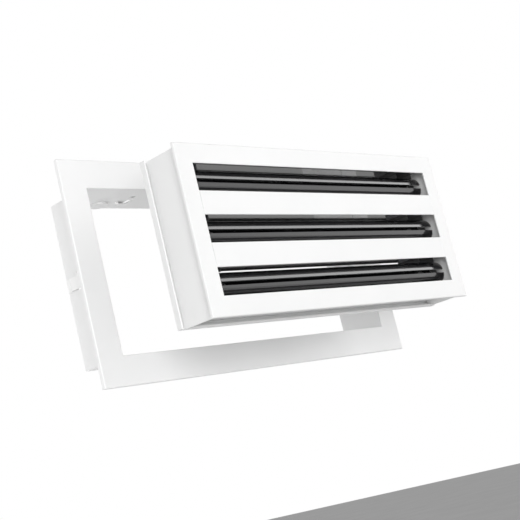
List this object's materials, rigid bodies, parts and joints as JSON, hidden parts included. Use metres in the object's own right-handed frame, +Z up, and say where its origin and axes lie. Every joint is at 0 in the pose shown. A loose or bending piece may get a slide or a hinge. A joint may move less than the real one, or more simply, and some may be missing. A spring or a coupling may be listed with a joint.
{
  "type": "louvred air grille",
  "caption": "Rectangular louvred air grille with slots and curved adjustable blades, that slides into a wall mounting frame with a sleeve and spring clips.",
  "frame": {"origin": "centre of the frame opening on the wall plane, at the back of the flange", "axes": "+X to the right seen from the front, +Y into the wall, +Z up"},
  "size_m": [0.404, 0.1652, 0.2],
  "materials": {
    "frame_white": "satin white powder coat",
    "grille_white": "satin white powder coat",
    "clip_white": "bright white coated spring strip",
    "rod_steel": "dark drawn steel",
    "inner_black": "satin black paint",
    "liner_black": "gloss black paint",
    "blade_black": "gloss black paint"
  },
  "bodies": {
    "mounting_frame": {"frame_flange": "frame_white", "sleeve_top": "frame_white", "sleeve_bottom": "frame_white", "sleeve_left": "frame_white", "sleeve_right": "frame_white", "clip_left": "clip_white", "clip_right": "clip_white", "clips_top": "clip_white", "clips_bottom": "clip_white"},
    "grille": {"top_rail": "grille_white", "bottom_rail": "grille_white", "left_stile": "grille_white", "right_stile": "grille_white", "slot_bar_upper": "grille_white", "slot_bar_lower": "grille_white", "corner_brackets": "grille_white", "side_panel_left": "inner_black", "side_panel_right": "inner_black", "bridge_left": "inner_black", "bridge_right": "inner_black", "rear_plate": "inner_black", "liner_top": "liner_black", "liner_upper": "liner_black", "liner_lower": "liner_black", "liner_bottom": "liner_black", "blade_rod_1": "rod_steel", "blade_rod_2": "rod_steel", "blade_rod_3": "rod_steel"},
    "upper_blade_1": {"upper_blade_1": "blade_black"},
    "lower_blade_1": {"lower_blade_1": "blade_black"},
    "upper_blade_2": {"upper_blade_2": "blade_black"},
    "lower_blade_2": {"lower_blade_2": "blade_black"},
    "upper_blade_3": {"upper_blade_3": "blade_black"},
    "lower_blade_3": {"lower_blade_3": "blade_black"}
  },
  "joints": [
    {"name": "grille_slide", "type": "slide", "parent": "mounting_frame", "child": "grille", "axis": [0, 1, 0], "range_m": [0, 0.1132]},
    {"name": "upper_blade_1_turn", "type": "hinge", "parent": "grille", "child": "upper_blade_1", "pos_m": [0, -0.0967, 0.044], "axis": [1, 0, 0], "range_deg": [-20, 7.5]},
    {"name": "lower_blade_1_turn", "type": "hinge", "parent": "grille", "child": "lower_blade_1", "pos_m": [0, -0.0967, 0.044], "axis": [1, 0, 0], "range_deg": [-7.5, 20]},
    {"name": "upper_blade_2_turn", "type": "hinge", "parent": "grille", "child": "upper_blade_2", "pos_m": [0, -0.0967, 0], "axis": [1, 0, 0], "range_deg": [-20, 7.5]},
    {"name": "lower_blade_2_turn", "type": "hinge", "parent": "grille", "child": "lower_blade_2", "pos_m": [0, -0.0967, 0], "axis": [1, 0, 0], "range_deg": [-7.5, 20]},
    {"name": "upper_blade_3_turn", "type": "hinge", "parent": "grille", "child": "upper_blade_3", "pos_m": [0, -0.0967, -0.044], "axis": [1, 0, 0], "range_deg": [-20, 7.5]},
    {"name": "lower_blade_3_turn", "type": "hinge", "parent": "grille", "child": "lower_blade_3", "pos_m": [0, -0.0967, -0.044], "axis": [1, 0, 0], "range_deg": [-7.5, 20]}
  ]
}
